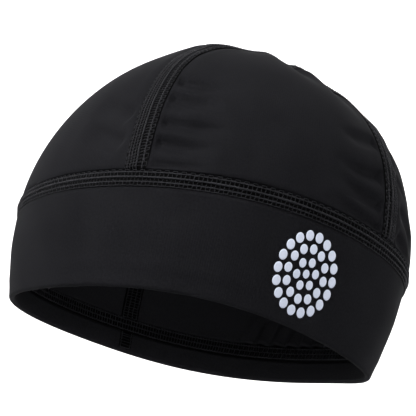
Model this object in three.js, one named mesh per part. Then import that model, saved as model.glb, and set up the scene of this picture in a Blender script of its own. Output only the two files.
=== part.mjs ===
// A thin stretch skull cap, cut and sewn from black jersey, in the form that it has on a head.
// Millimetres, +Z up. The front of the head looks along -Y and the wearer's left is +X.
// The origin is the inside of the crown's top, where the head carries the cap.

import * as THREE from "three";

// Driving dimensions.
const HALF_WIDTH = 83.1; // across the head at the widest level, outside
const HALF_LENGTH = 101.0; // front to back at the widest level, outside
const CAP_HEIGHT = 128.25; // level of the rim to the top of the crown, outside
const WIDEST_HEIGHT = 43.5; // level of the widest section above the rim
const DOME_FULLNESS = 1.9; // exponent of the dome's section: 2 is an ellipse, less is leaner
const PLAN_FULLNESS = 0.0225; // how far the plan is fuller than an ellipse at its four corners

const CLOTH = 1.2; // one thickness of the jersey, stretched
const GAP = 0.3; // left between neighbouring pieces
const MEETING_ROOM = 0.8; // left between the front seam and the back seam's end
const SEAM_WIDTH = 9.5; // flatlock seams of the crown
const BAND_SEAM_WIDTH = 6.2; // flatlock seam between the band and the crown
const SEAM_PROUD = 0.6; // how far a seam stands out of the cloth, on both faces
const BAND_HEIGHT = 40.7; // rim to the middle of the band's seam
const FACING_HEIGHT = 10.5; // the part of the band that is turned in at the rim
const HEM_SEAM_HEIGHT = 7; // the ladder-like seam that holds the turned-in part
const BACK_SEAM_WIDTH = 7; // closing seam of the band, inside at the back
const ROLL_HEIGHT = 2.6; // height of the rounded fold at the rim

// Mesh fineness.
const AROUND_STEPS = 72;
const PANEL_ROWS = 18;
const SEAM_ROWS = 36;
const BACK_SEAM_ROWS = 24;
const PROFILE_STEPS = 400;

// Radius factor of the wall below the widest level: the cap narrows towards the rim.
const LOWER_WALL = [
  { height: 0, factor: 0.928 },
  { height: 8.7, factor: 0.951 },
  { height: 24, factor: 0.984 },
  { height: WIDEST_HEIGHT, factor: 1.0 },
];

// The cap sits in slow waves: how far the rim and the band's seam rise or fall round the head, as a sum
// of waves in millimetres. "turns" counts the waves of a row, starting at the front.
const RIM_WAVES = [
  { turns: 1, cosine: -1.77, sine: 0.34 },
  { turns: 2, cosine: 0.54, sine: -0.67 },
  { turns: 3, cosine: 1.27, sine: -1.0 },
  { turns: 4, cosine: 0.24, sine: 0 },
];
const SEAM_WAVES = [
  { turns: 1, cosine: 2.1, sine: 0.1 },
  { turns: 2, cosine: 1.2, sine: -0.23 },
  { turns: 3, cosine: 1.28, sine: 0.14 },
];
const SEAM_WAVE_LEVEL = 45; // the rim's waves turn into the seam's up to this level
const WAVE_FADE = 60; // height above that level over which the waves die out

// The crown's front seam, laid out flat from the crown's top. It arches over the head in front of the
// top, from the wearer's right to the left, and its middle row is where the back seam meets it.
// "across" is towards the wearer's left and "forward" towards the front, in millimetres of cloth.
const FRONT_SEAM = [
  { across: -120.5, forward: 121.5 },
  { across: -97, forward: 97.5 },
  { across: -91, forward: 89.5 },
  { across: -84, forward: 80 },
  { across: -77, forward: 70.5 },
  { across: -69, forward: 60.5 },
  { across: -62, forward: 52 },
  { across: -55, forward: 44.5 },
  { across: -47.5, forward: 37.5 },
  { across: -37.5, forward: 31.3 },
  { across: -27, forward: 27.8 },
  { across: -14.8, forward: 26.4 },
  { across: -2.8, forward: 26.9 },
  { across: 9, forward: 28.9 },
  { across: 20.7, forward: 32.8 },
  { across: 31, forward: 38.5 },
  { across: 39, forward: 45 },
  { across: 44.5, forward: 52 },
  { across: 48.5, forward: 60 },
  { across: 52, forward: 69 },
  { across: 57, forward: 82 },
  { across: 63, forward: 97 },
  { across: 69, forward: 109 },
  { across: 76, forward: 120 },
  { across: 93.5, forward: 147 },
];

// Main folds and dents. "angle" is in degrees from the front towards the wearer's left, "height" is above
// the rim, "half_angle" and "half_height" are half sizes, and "tilt" leans a fold: millimetres of height
// for each degree. A positive depth is a swelling, a negative one a dent.
const FOLDS = [
  { angle: 42, height: 57, half_angle: 7, half_height: 5, tilt: -0.6, depth: 1.0 },
  { angle: 44, height: 71, half_angle: 7, half_height: 5, tilt: -0.6, depth: 1.2 },
  { angle: 46, height: 85, half_angle: 7, half_height: 5, tilt: -0.6, depth: 0.9 },
  { angle: 44.5, height: 98, half_angle: 6, half_height: 6, tilt: -0.4, depth: 1.2 },
  { angle: 40, height: 106, half_angle: 3.5, half_height: 7, tilt: 0, depth: -0.8 },
  { angle: 36.5, height: 110, half_angle: 4, half_height: 7, tilt: 0, depth: 0.9 },
  { angle: 28.5, height: 114.5, half_angle: 6, half_height: 10, tilt: 0, depth: -1.4 },
  { angle: 19, height: 118.5, half_angle: 5, half_height: 6, tilt: 0, depth: 1.3 },
  { angle: 9, height: 119.5, half_angle: 6, half_height: 8, tilt: 0, depth: -2.0 },
  { angle: -11, height: 122, half_angle: 8, half_height: 5, tilt: 0, depth: 0.8 },
  { angle: -32, height: 122, half_angle: 14, half_height: 4, tilt: 0, depth: -0.6 },
  { angle: -56, height: 118.5, half_angle: 18, half_height: 4, tilt: 0.1, depth: 1.4 },
  { angle: 21, height: 87.5, half_angle: 7, half_height: 4, tilt: -0.5, depth: -1.1 },
  { angle: 24, height: 75, half_angle: 7, half_height: 4, tilt: -0.5, depth: -1.1 },
  { angle: 24, height: 61, half_angle: 7, half_height: 4, tilt: -0.4, depth: -1.1 },
  { angle: 26, height: 50, half_angle: 6, half_height: 3.5, tilt: -0.8, depth: -0.9 },
  { angle: -40, height: 93, half_angle: 10, half_height: 4, tilt: 0.15, depth: -0.7 },
  { angle: -37, height: 77, half_angle: 10, half_height: 4, tilt: 0.15, depth: -0.7 },
  { angle: -33, height: 61, half_angle: 10, half_height: 4, tilt: 0.15, depth: -0.6 },
  { angle: -58, height: 63, half_angle: 8, half_height: 4, tilt: -0.5, depth: -0.6 },
];

// A broad, shallow dent of the crown's slack cloth, placed in the flat layout.
const SLACK_DENT = { across: 24, forward: 24, half_size: 32, depth: -2.2 };

const BLACK_JERSEY = { color: 0x232326, roughness: 0.72, metalness: 0 };
const SEAM_THREAD = { color: 0x2c2c30, roughness: 0.6, metalness: 0 };
const INNER_JERSEY = { color: 0x1a1a1c, roughness: 0.8, metalness: 0 };

// The profile: radius factor and height against the arc length from the crown's top.
function lowerFactor(height) {
  const rows = LOWER_WALL;
  let index = 0;
  while (index < rows.length - 2 && height > rows[index + 1].height) {
    index += 1;
  }
  const low = rows[index];
  const high = rows[index + 1];
  const part = (height - low.height) / (high.height - low.height);
  const before = rows[Math.max(index - 1, 0)].factor;
  const after = rows[Math.min(index + 2, rows.length - 1)].factor;
  const slopeLow = (high.factor - before) / 2;
  const slopeHigh = (after - low.factor) / 2;
  const square = part * part;
  const cube = square * part;
  const eased = low.factor * (2 * cube - 3 * square + 1) + slopeLow * (cube - 2 * square + part);
  return eased + high.factor * (3 * square - 2 * cube) + slopeHigh * (cube - square);
}

function makeProfile() {
  const meanRadius = (HALF_WIDTH + HALF_LENGTH) / 2;
  const points = [];
  for (let step = 0; step <= PROFILE_STEPS; step += 1) {
    const turn = (step / PROFILE_STEPS) * (Math.PI / 2);
    const factor = Math.pow(Math.sin(turn), 2 / DOME_FULLNESS);
    const rise = Math.pow(Math.cos(turn), 2 / DOME_FULLNESS);
    points.push({ factor, height: WIDEST_HEIGHT + (CAP_HEIGHT - WIDEST_HEIGHT) * rise });
  }
  for (let step = 1; step <= PROFILE_STEPS / 4; step += 1) {
    const height = WIDEST_HEIGHT * (1 - (4 * step) / PROFILE_STEPS);
    points.push({ factor: lowerFactor(height), height });
  }
  let arc = 0;
  points[0].arc = 0;
  for (let index = 1; index < points.length; index += 1) {
    const across = (points[index].factor - points[index - 1].factor) * meanRadius;
    arc += Math.hypot(across, points[index].height - points[index - 1].height);
    points[index].arc = arc;
  }
  return points;
}

const PROFILE = makeProfile();

// The row of the profile at a value of one of its columns, "arc" rising or "height" falling.
function profileAt(column, value) {
  const rising = column === "arc";
  let low = 0;
  let high = PROFILE.length - 1;
  while (high - low > 1) {
    const middle = Math.floor((low + high) / 2);
    const passed = rising ? PROFILE[middle][column] <= value : PROFILE[middle][column] >= value;
    if (passed) {
      low = middle;
    } else {
      high = middle;
    }
  }
  const first = PROFILE[low];
  const second = PROFILE[high];
  const part = (value - first[column]) / (second[column] - first[column]);
  return {
    arc: first.arc + (second.arc - first.arc) * part,
    factor: first.factor + (second.factor - first.factor) * part,
    height: first.height + (second.height - first.height) * part,
  };
}

// How far the folds lift the cloth at a place on the cap.
function foldLift(angle, height) {
  let lift = 0;
  for (const fold of FOLDS) {
    let turn = THREE.MathUtils.radToDeg(angle) - fold.angle;
    turn = turn - 360 * Math.round(turn / 360);
    const sideways = turn / fold.half_angle;
    const upwards = (height - fold.height - fold.tilt * turn) / fold.half_height;
    lift += fold.depth * Math.exp(-(sideways * sideways + upwards * upwards));
  }
  return lift;
}

// How far the waves lift a place of the wall.
function waveSum(waves, angle) {
  return waves.reduce(
    (sum, wave) => sum + wave.cosine * Math.cos(wave.turns * angle) + wave.sine * Math.sin(wave.turns * angle),
    0,
  );
}

function waveLift(angle, height) {
  const seamPart = THREE.MathUtils.clamp(height / SEAM_WAVE_LEVEL, 0, 1);
  const fade = THREE.MathUtils.smoothstep(height, SEAM_WAVE_LEVEL, SEAM_WAVE_LEVEL + WAVE_FADE);
  const lift = waveSum(RIM_WAVES, angle) * (1 - seamPart) + waveSum(SEAM_WAVES, angle) * seamPart;
  return lift * (1 - fade);
}

// The cap's outside at a place of the flat layout: millimetres along the cloth from the crown's top.
function outsideAt(across, forward) {
  const arc = Math.hypot(across, forward);
  const angle = Math.atan2(across, forward);
  const row = profileAt("arc", arc);
  const rise = row.height / CAP_HEIGHT;
  const factor = row.factor * (1 - PLAN_FULLNESS * Math.cos(4 * angle) * (1 - rise * rise));
  return new THREE.Vector3(
    HALF_WIDTH * factor * Math.sin(angle),
    -HALF_LENGTH * factor * Math.cos(angle),
    row.height + waveLift(angle, row.height),
  );
}

function normalAt(across, forward) {
  const nudge = 0.5;
  const sideways = outsideAt(across + nudge, forward).sub(outsideAt(across - nudge, forward));
  const onwards = outsideAt(across, forward + nudge).sub(outsideAt(across, forward - nudge));
  return onwards.cross(sideways).normalize();
}

// A point of a piece: its place in the flat layout, and how far it lies outside (+) or inside (-).
function placed(across, forward, offset) {
  const point = outsideAt(across, forward);
  const height = profileAt("arc", Math.hypot(across, forward)).height;
  const fromDent = Math.hypot(across - SLACK_DENT.across, forward - SLACK_DENT.forward) / SLACK_DENT.half_size;
  const dent = SLACK_DENT.depth * Math.exp(-fromDent * fromDent);
  const lift = foldLift(Math.atan2(across, forward), height) + dent;
  return point.addScaledVector(normalAt(across, forward), offset + lift);
}

function arcAtHeight(height) {
  return profileAt("height", height).arc;
}

// Width of one millimetre of real cloth, along the ring, in the flat layout.
function layoutStretch(arc) {
  const meanRadius = (HALF_WIDTH + HALF_LENGTH) / 2;
  return arc < 1 ? 1 : arc / (profileAt("arc", arc).factor * meanRadius);
}

// A closed mesh from a list of points and a list of faces, each a triangle or a four-sided face.
function closedMesh(points, faces) {
  const positions = new Float32Array(points.flatMap((point) => [point.x, point.y, point.z]));
  const triangles = [];
  for (const face of faces) {
    for (let corner = 1; corner < face.length - 1; corner += 1) {
      const triangle = [face[0], face[corner], face[corner + 1]];
      if (new Set(triangle).size === 3) {
        triangles.push(...triangle);
      }
    }
  }
  const geometry = new THREE.BufferGeometry();
  geometry.setAttribute("position", new THREE.BufferAttribute(positions, 3));
  geometry.setIndex(triangles);
  geometry.computeVertexNormals();
  return geometry;
}

// A ring round the whole cap: a closed section of { offset, height } rows, given clockwise as seen
// with the outside on the right.
function ringGeometry(section) {
  const points = [];
  const faces = [];
  const rows = section.length;
  for (let step = 0; step < AROUND_STEPS; step += 1) {
    const angle = (step / AROUND_STEPS) * 2 * Math.PI;
    for (const row of section) {
      const arc = arcAtHeight(row.height);
      points.push(placed(arc * Math.sin(angle), arc * Math.cos(angle), row.offset));
    }
  }
  for (let step = 0; step < AROUND_STEPS; step += 1) {
    const here = step * rows;
    const next = ((step + 1) % AROUND_STEPS) * rows;
    for (let row = 0; row < rows; row += 1) {
      const following = (row + 1) % rows;
      faces.push([here + row, here + following, next + following, next + row]);
    }
  }
  return closedMesh(points, faces);
}

// A patch of cloth from rows of layout places: every row runs from one side edge to the other.
// "faceOffsets" gives a row's offsets outside and inside. A last row of one place closes to a point.
function patchGeometry(rows, faceOffsets) {
  const points = [];
  const starts = [];
  rows.forEach((row, index) => {
    starts.push(points.length);
    const [outside, inside] = faceOffsets(index);
    for (const offset of [outside, inside]) {
      for (const place of row) {
        points.push(placed(place.x, place.y, offset));
      }
    }
  });
  const at = (row, column, face) => {
    const count = rows[row].length;
    return starts[row] + face * count + Math.min(column, count - 1);
  };
  const faces = [];
  const columns = rows[0].length - 1;
  const lastRow = rows.length - 1;
  for (let row = 0; row < lastRow; row += 1) {
    for (let column = 0; column < columns; column += 1) {
      const next = column + 1;
      faces.push([at(row, column, 0), at(row, next, 0), at(row + 1, next, 0), at(row + 1, column, 0)]);
      faces.push([at(row, column, 1), at(row + 1, column, 1), at(row + 1, next, 1), at(row, next, 1)]);
    }
    faces.push([at(row, 0, 0), at(row + 1, 0, 0), at(row + 1, 0, 1), at(row, 0, 1)]);
    faces.push([at(row, columns, 0), at(row, columns, 1), at(row + 1, columns, 1), at(row + 1, columns, 0)]);
  }
  for (let column = 0; column < columns; column += 1) {
    const next = column + 1;
    faces.push([at(0, column, 0), at(0, column, 1), at(0, next, 1), at(0, next, 0)]);
    if (rows[lastRow].length > 1) {
      faces.push([
        at(lastRow, column, 0),
        at(lastRow, next, 0),
        at(lastRow, next, 1),
        at(lastRow, column, 1),
      ]);
    }
  }
  return closedMesh(points, faces);
}

// The crown's cloth runs behind the band's seam and the band, down to the hem seam.
const BAND_SEAM_TOP = BAND_HEIGHT + BAND_SEAM_WIDTH / 2;
const BAND_SEAM_FOOT = BAND_HEIGHT - BAND_SEAM_WIDTH / 2;
const HEM_SEAM_FOOT = FACING_HEIGHT + GAP;
const HEM_SEAM_TOP = HEM_SEAM_FOOT + HEM_SEAM_HEIGHT;
const CROWN_FOOT = HEM_SEAM_TOP + GAP;
const WALL_HEIGHTS = [ROLL_HEIGHT, FACING_HEIGHT, CROWN_FOOT, 27]; // rows of the band's wall
const BEHIND_BAND = -(CLOTH + GAP);
const SEAM_LAP = 2.5; // height over which the crown comes out to the band's level

function crownLevel(height) {
  const part = THREE.MathUtils.clamp((height - BAND_SEAM_TOP - GAP) / SEAM_LAP, 0, 1);
  return BEHIND_BAND * (1 - part * part * (3 - 2 * part));
}

// The back seam runs from the middle of the front seam over the crown's top and down the back.
const FOOT_ARC = arcAtHeight(CROWN_FOOT);
const FRONT_LINE = new THREE.SplineCurve(
  FRONT_SEAM.map((row) => new THREE.Vector2(row.across, row.forward)),
);
const MEETING_PART = 0.5; // of the front line
const MEETING_PLACE = FRONT_LINE.getPoint(MEETING_PART);
const BACK_LINE = new THREE.LineCurve(
  new THREE.Vector2(0, -1.1 * FOOT_ARC),
  besideSeam(FRONT_LINE, MEETING_PART, SEAM_WIDTH / 2 + MEETING_ROOM),
);

// A place beside a seam line, "aside" real millimetres off it. A positive value lies behind the
// front seam, or on the wearer's left of the back seam.
function besideSeam(line, part, aside) {
  const place = line.getPoint(part);
  const direction = line.getTangent(part);
  const stretch = layoutStretch(place.length());
  return new THREE.Vector2(
    place.x + direction.y * aside * stretch,
    place.y - direction.x * aside * stretch,
  );
}

// The crown's rows are circles in the flat layout: round the crown's top at its foot, and round the
// place where the seams meet near that place.
const INNER_CIRCLE = 12; // radius up to which the circles stay round the meeting place
const LAP_HEIGHTS = [0, SEAM_LAP / 2, SEAM_LAP].map((rise) => BAND_SEAM_TOP + GAP + rise);
const OUTER_CIRCLE = arcAtHeight(LAP_HEIGHTS[2]);

function circleCentre(radius) {
  const part = THREE.MathUtils.clamp((radius - INNER_CIRCLE) / (OUTER_CIRCLE - INNER_CIRCLE), 0, 1);
  return MEETING_PLACE.clone().multiplyScalar(1 - part);
}

// The part of a seam line, between an outer and an inner end, that lies on a row's circle.
function seamPartAtRadius(line, outerEnd, innerEnd, aside, radius) {
  const centre = circleCentre(radius);
  let outer = outerEnd;
  let inner = innerEnd;
  for (let turn = 0; turn < 40; turn += 1) {
    const middle = (outer + inner) / 2;
    if (besideSeam(line, middle, aside).distanceTo(centre) > radius) {
      outer = middle;
    } else {
      inner = middle;
    }
  }
  return (outer + inner) / 2;
}

// The radii of a crown piece's rows, from its foot to its top: some follow the lap over the band.
function rowRadii(topRadius, rowCount) {
  const radii = [CROWN_FOOT, 27, BAND_SEAM_FOOT, ...LAP_HEIGHTS].map(arcAtHeight);
  for (let row = 1; row <= rowCount; row += 1) {
    radii.push(OUTER_CIRCLE + (topRadius - OUTER_CIRCLE) * (row / rowCount));
  }
  return radii;
}

const RIGHT_END = { line: FRONT_LINE, outerEnd: 0, innerEnd: MEETING_PART };
const LEFT_END = { line: FRONT_LINE, outerEnd: 1, innerEnd: MEETING_PART };
const BACK_END = { line: BACK_LINE, outerEnd: 0, innerEnd: 1 };

function placeAtRadius(end, aside, radius) {
  const part = seamPartAtRadius(end.line, end.outerEnd, end.innerEnd, aside, radius);
  return besideSeam(end.line, part, aside);
}

// A crown panel between two seams: rows from its foot to one corner at the meeting place.
function panelGeometry(first, firstSide, second, secondSide, columns, cornerRadius) {
  const aside = SEAM_WIDTH / 2 + GAP;
  const radii = rowRadii(cornerRadius, PANEL_ROWS);
  const rows = radii.map((radius) => {
    const centre = circleCentre(radius);
    const from = placeAtRadius(first, firstSide * aside, radius).sub(centre);
    const to = placeAtRadius(second, secondSide * aside, radius).sub(centre);
    const fromAngle = Math.atan2(from.x, from.y);
    const toAngle = Math.atan2(to.x, to.y);
    const span = THREE.MathUtils.euclideanModulo(toAngle - fromAngle, 2 * Math.PI);
    const places = [];
    for (let column = 0; column <= columns; column += 1) {
      const angle = fromAngle + span * (column / columns);
      places.push(new THREE.Vector2(Math.sin(angle), Math.cos(angle)).multiplyScalar(radius).add(centre));
    }
    return places;
  });
  const last = rows.length - 1;
  rows[last] = [rows[last][0].clone().lerp(rows[last][columns], 0.5)];
  return patchGeometry(rows, (index) => {
    const level = crownLevel(profileAt("arc", radii[index]).height);
    return [level, level - CLOTH];
  });
}

// A flatlock seam strip along a seam line, from the crown's foot to a part of the line near its top.
function seamStripGeometry(end, endPart, rowCount) {
  const radii = rowRadii(end.line.getPoint(endPart).distanceTo(MEETING_PLACE), rowCount);
  const goesDown = end.outerEnd > end.innerEnd;
  const rows = radii.map((radius, index) => {
    const isLast = index === radii.length - 1;
    const part = isLast ? endPart : seamPartAtRadius(end.line, end.outerEnd, end.innerEnd, 0, radius);
    const asides = [SEAM_WIDTH / 2, SEAM_WIDTH / 6, -SEAM_WIDTH / 6, -SEAM_WIDTH / 2];
    return asides.map((aside) => besideSeam(end.line, part, goesDown ? -aside : aside));
  });
  return patchGeometry(rows, (index) => {
    const height = profileAt("arc", radii[index]).height;
    const level = crownLevel(height);
    const free = THREE.MathUtils.clamp((height - BAND_SEAM_TOP - GAP) / SEAM_LAP, 0, 1);
    return [level + SEAM_PROUD * free, level - CLOTH - SEAM_PROUD * free];
  });
}

// The band: one cloth folded under at the rim, with a slit between the outside and the turned-in part.
function bandGeometry() {
  const top = BAND_SEAM_FOOT - GAP;
  const inside = -(2 * CLOTH + GAP);
  const wall = [...WALL_HEIGHTS, top];
  const facing = [ROLL_HEIGHT, FACING_HEIGHT];
  const downwards = (heights, offset) => [...heights].reverse().map((height) => ({ offset, height }));
  const upwards = (heights, offset) => heights.map((height) => ({ offset, height }));
  return ringGeometry([
    ...downwards(wall, 0),
    { offset: inside * 0.14, height: ROLL_HEIGHT * 0.3 },
    { offset: inside * 0.5, height: 0 },
    { offset: inside * 0.86, height: ROLL_HEIGHT * 0.3 },
    ...upwards(facing, inside),
    ...downwards(facing, -(CLOTH + GAP)),
    ...upwards(wall, -CLOTH),
  ]);
}

function bandSeamGeometry() {
  return ringGeometry([
    { offset: -CLOTH, height: BAND_SEAM_TOP },
    { offset: 0, height: BAND_SEAM_TOP },
    { offset: SEAM_PROUD, height: BAND_SEAM_TOP - BAND_SEAM_WIDTH * 0.15 },
    { offset: SEAM_PROUD, height: BAND_SEAM_FOOT + BAND_SEAM_WIDTH * 0.15 },
    { offset: 0, height: BAND_SEAM_FOOT },
    { offset: -CLOTH, height: BAND_SEAM_FOOT },
  ]);
}

function hemSeamGeometry() {
  const inside = BEHIND_BAND - CLOTH;
  return ringGeometry([
    { offset: BEHIND_BAND, height: HEM_SEAM_TOP },
    { offset: BEHIND_BAND, height: HEM_SEAM_FOOT },
    { offset: inside, height: HEM_SEAM_FOOT },
    { offset: inside - SEAM_PROUD, height: HEM_SEAM_FOOT + HEM_SEAM_HEIGHT * 0.15 },
    { offset: inside - SEAM_PROUD, height: HEM_SEAM_TOP - HEM_SEAM_HEIGHT * 0.15 },
    { offset: inside, height: HEM_SEAM_TOP },
  ]);
}

// The band's closing seam: a strip on the inside of the turned-in part, at the middle of the back.
function bandBackSeamGeometry() {
  const inside = -(2 * CLOTH + GAP);
  const rows = [ROLL_HEIGHT, FACING_HEIGHT].map((height) => {
    const arc = arcAtHeight(height);
    const half = (BACK_SEAM_WIDTH / 2) * layoutStretch(arc);
    return [half, half / 3, -half / 3, -half].map((across) => new THREE.Vector2(across, -arc));
  });
  return patchGeometry(rows, () => [inside - GAP, inside - GAP - SEAM_PROUD]);
}

const PANEL_COLUMNS = { front: 12, side: 20 };
const FRONT_CORNER_RADIUS = SEAM_WIDTH / 2 + GAP;
const BACK_CORNER_RADIUS = Math.SQRT2 * FRONT_CORNER_RADIUS;
const MEETING_GAP = GAP / FRONT_LINE.getLength(); // of the front line, left beside its middle

const PIECES = [
  { name: "band", geometry: bandGeometry(), finish: BLACK_JERSEY },
  {
    name: "crown_front_panel",
    geometry: panelGeometry(RIGHT_END, -1, LEFT_END, -1, PANEL_COLUMNS.front, FRONT_CORNER_RADIUS),
    finish: BLACK_JERSEY,
  },
  {
    name: "crown_left_panel",
    geometry: panelGeometry(LEFT_END, 1, BACK_END, 1, PANEL_COLUMNS.side, BACK_CORNER_RADIUS),
    finish: BLACK_JERSEY,
  },
  {
    name: "crown_right_panel",
    geometry: panelGeometry(BACK_END, -1, RIGHT_END, 1, PANEL_COLUMNS.side, BACK_CORNER_RADIUS),
    finish: BLACK_JERSEY,
  },
  {
    name: "crown_seam_front_right",
    geometry: seamStripGeometry(RIGHT_END, MEETING_PART - MEETING_GAP, SEAM_ROWS),
    finish: SEAM_THREAD,
  },
  {
    name: "crown_seam_front_left",
    geometry: seamStripGeometry(LEFT_END, MEETING_PART + MEETING_GAP, SEAM_ROWS),
    finish: SEAM_THREAD,
  },
  {
    name: "crown_seam_back",
    geometry: seamStripGeometry(BACK_END, 1, BACK_SEAM_ROWS),
    finish: SEAM_THREAD,
  },
  { name: "band_seam", geometry: bandSeamGeometry(), finish: SEAM_THREAD },
  { name: "hem_seam", geometry: hemSeamGeometry(), finish: INNER_JERSEY },
  { name: "band_back_seam", geometry: bandBackSeamGeometry(), finish: INNER_JERSEY },
];

const cap = new THREE.Group();
for (const piece of PIECES) {
  const mesh = new THREE.Mesh(piece.geometry, new THREE.MeshStandardMaterial(piece.finish));
  mesh.name = piece.name;
  cap.add(mesh);
}

// The inside of the crown's top, where the back seam runs over it, is the origin.
const SEAT_HEIGHT = CAP_HEIGHT - CLOTH - SEAM_PROUD;
cap.position.set(0, 0, -SEAT_HEIGHT);

export default cap;
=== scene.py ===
"""A black stretch skull cap: jersey panels, flatlock seams, a folded band and a dotted transfer print."""

import math

import bpy
import numpy as np
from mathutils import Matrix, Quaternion, Vector


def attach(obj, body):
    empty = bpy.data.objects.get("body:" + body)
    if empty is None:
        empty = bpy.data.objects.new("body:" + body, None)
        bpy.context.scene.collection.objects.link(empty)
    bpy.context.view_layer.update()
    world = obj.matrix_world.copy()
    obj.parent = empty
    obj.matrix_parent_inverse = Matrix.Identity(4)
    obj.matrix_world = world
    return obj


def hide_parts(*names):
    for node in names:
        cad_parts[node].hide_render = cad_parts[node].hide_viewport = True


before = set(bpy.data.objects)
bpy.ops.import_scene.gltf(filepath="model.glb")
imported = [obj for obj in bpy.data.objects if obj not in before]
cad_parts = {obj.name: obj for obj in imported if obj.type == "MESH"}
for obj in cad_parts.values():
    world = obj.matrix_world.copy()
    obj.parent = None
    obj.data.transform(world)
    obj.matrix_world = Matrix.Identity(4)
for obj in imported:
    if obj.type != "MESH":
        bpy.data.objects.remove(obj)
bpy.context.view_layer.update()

bl_info = {
    "name": "Skull cap",
    "version": (1, 0, 0),
    "blender": (4, 5, 0),
    "location": "View3D > Sidebar > Skull cap",
    "description": "Builds a thin stretch skull cap with flatlock seams, and a plain studio for it",
    "category": "Object",
}

MM = 0.001
TO_MM = 1000


def table(fields, *rows):
    """Rows of values, each under the names of its fields."""
    names = fields.split()
    return [dict(zip(names, row)) for row in rows]


# The form of the cap, in millimetres above the rim, as its solids have it.
HALF_WIDTH = 83.1
HALF_LENGTH = 101.0
CAP_HEIGHT = 128.25
WIDEST_HEIGHT = 43.5
DOME_FULLNESS = 1.9
PLAN_FULLNESS = 0.0225
CLOTH = 1.2
GAP = 0.3
SEAM_WIDTH = 9.5
SEAM_PROUD = 0.6
BAND_HEIGHT = 40.7
BAND_SEAM_WIDTH = 6.2
FACING_HEIGHT = 10.5
HEM_SEAM_HEIGHT = 7.0
BACK_SEAM_WIDTH = 7.0

BAND_SEAM_TOP = BAND_HEIGHT + BAND_SEAM_WIDTH / 2
BAND_SEAM_FOOT = BAND_HEIGHT - BAND_SEAM_WIDTH / 2
HEM_SEAM_FOOT = FACING_HEIGHT + GAP
HEM_SEAM_TOP = HEM_SEAM_FOOT + HEM_SEAM_HEIGHT
CROWN_FOOT = HEM_SEAM_TOP + GAP
BEHIND_BAND = -(CLOTH + GAP)
FACING_LEVEL = -(2 * CLOTH + GAP)
MEAN_RADIUS = (HALF_WIDTH + HALF_LENGTH) / 2

# The band's cloth ends this far below its seam. As far above it, the crown's cloth starts to come out from
# behind the band, and it has come out to its own level after the rise.
SEAM_EDGE = 0.1
CROWN_RISE = 1.0
# From this far above the band's seam down, the crown's rows are circles round the crown's top.
SEAM_LAP = 2.5

# The origin is the inside of the crown's top. The cap's middle lies on the axis below it, in metres.
SEAT_HEIGHT = CAP_HEIGHT - CLOTH - SEAM_PROUD
SHIFT = np.array([0.0, 0.0, -SEAT_HEIGHT])
CAP_MIDDLE = (0.0, 0.0, -0.07)

# Radius factor of the wall below the widest level.
LOWER_WALL = table(
    "height factor",
    (0, 0.928),
    (8.7, 0.951),
    (24, 0.984),
    (WIDEST_HEIGHT, 1.0),
)

# Slow waves of the rim and of the band's seam round the head, in millimetres, counted from the front.
RIM_WAVES = table(
    "turns cosine sine",
    (1, -1.77, 0.34),
    (2, 0.54, -0.67),
    (3, 1.27, -1.0),
    (4, 0.24, 0),
)
SEAM_WAVES = table(
    "turns cosine sine",
    (1, 2.1, 0.1),
    (2, 1.2, -0.23),
    (3, 1.28, 0.14),
)
SEAM_WAVE_LEVEL = 45.0
WAVE_FADE = 60.0

# The front seam in the flat layout, from the wearer's right over the head to the left.
FRONT_SEAM = table(
    "across forward",
    (-120.5, 121.5),
    (-97, 97.5),
    (-91, 89.5),
    (-84, 80),
    (-77, 70.5),
    (-69, 60.5),
    (-62, 52),
    (-55, 44.5),
    (-47.5, 37.5),
    (-37.5, 31.3),
    (-27, 27.8),
    (-14.8, 26.4),
    (-2.8, 26.9),
    (9, 28.9),
    (20.7, 32.8),
    (31, 38.5),
    (39, 45),
    (44.5, 52),
    (48.5, 60),
    (52, 69),
    (57, 82),
    (63, 97),
    (69, 109),
    (76, 120),
    (93.5, 147),
)
# The back seam ends this far under the front seam, so that no slit is left between them.
SEAM_TUCK = 0.5
# A crown seam's bed laps over the edges of the panels, so that no light comes through.
BED_LAP = 0.25
INNER_CIRCLE = 12.0

# Main folds and dents, as the solids have them: angle in degrees from the front towards the wearer's left.
FOLDS = table(
    "angle height half_angle half_height tilt depth",
    (42, 57, 7, 5, -0.6, 1.0),
    (44, 71, 7, 5, -0.6, 1.2),
    (46, 85, 7, 5, -0.6, 0.9),
    (44.5, 98, 6, 6, -0.4, 1.2),
    (40, 106, 3.5, 7, 0, -0.8),
    (36.5, 110, 4, 7, 0, 0.9),
    (28.5, 114.5, 6, 10, 0, -1.4),
    (19, 118.5, 5, 6, 0, 1.3),
    (9, 119.5, 6, 8, 0, -2.0),
    (-11, 122, 8, 5, 0, 0.8),
    (-32, 122, 14, 4, 0, -0.6),
    (-56, 118.5, 18, 4, 0.1, 1.4),
)

# A broad, shallow dent of the crown's slack cloth, placed in the flat layout.
SLACK_DENT = {"across": 24, "forward": 24, "half_size": 32, "depth": -2.2}

# Drag lines where a seam pulls the jersey: each a trough that starts at the seam and dies out in the panel.
DRAG_LINES = table(
    "from_angle from_height to_angle to_height width depth",
    (-46, 90.6, -27, 86.6, 2.4, -3.1),
    (-46, 81, -28, 77, 2.4, -3.1),
    (-45, 75.2, -35, 73.2, 2, -1.7),
    (-45, 68, -24, 64.3, 2.4, -3.4),
    (-44, 58, -26, 54.6, 2.6, -3.2),
    (-44, 45.8, -26, 45.8, 2.2, -2.5),
    (-51, 57, -68, 66, 3.6, -2),
    (-52, 70, -68, 78, 3.6, -1.8),
    (31.5, 88, 13, 82.5, 2.6, -2.2),
    (34.5, 72.6, 11, 66.2, 2.8, -3.6),
    (33, 55.8, 11, 58.2, 2.8, -3.4),
    (33.5, 45, 10, 49, 2.8, -3.2),
    (37.5, 50, 52, 43.5, 2.8, -2),
    (38, 62, 56, 53, 3, -2.2),
    (39, 76, 57, 66.5, 3, -2.2),
)

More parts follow.
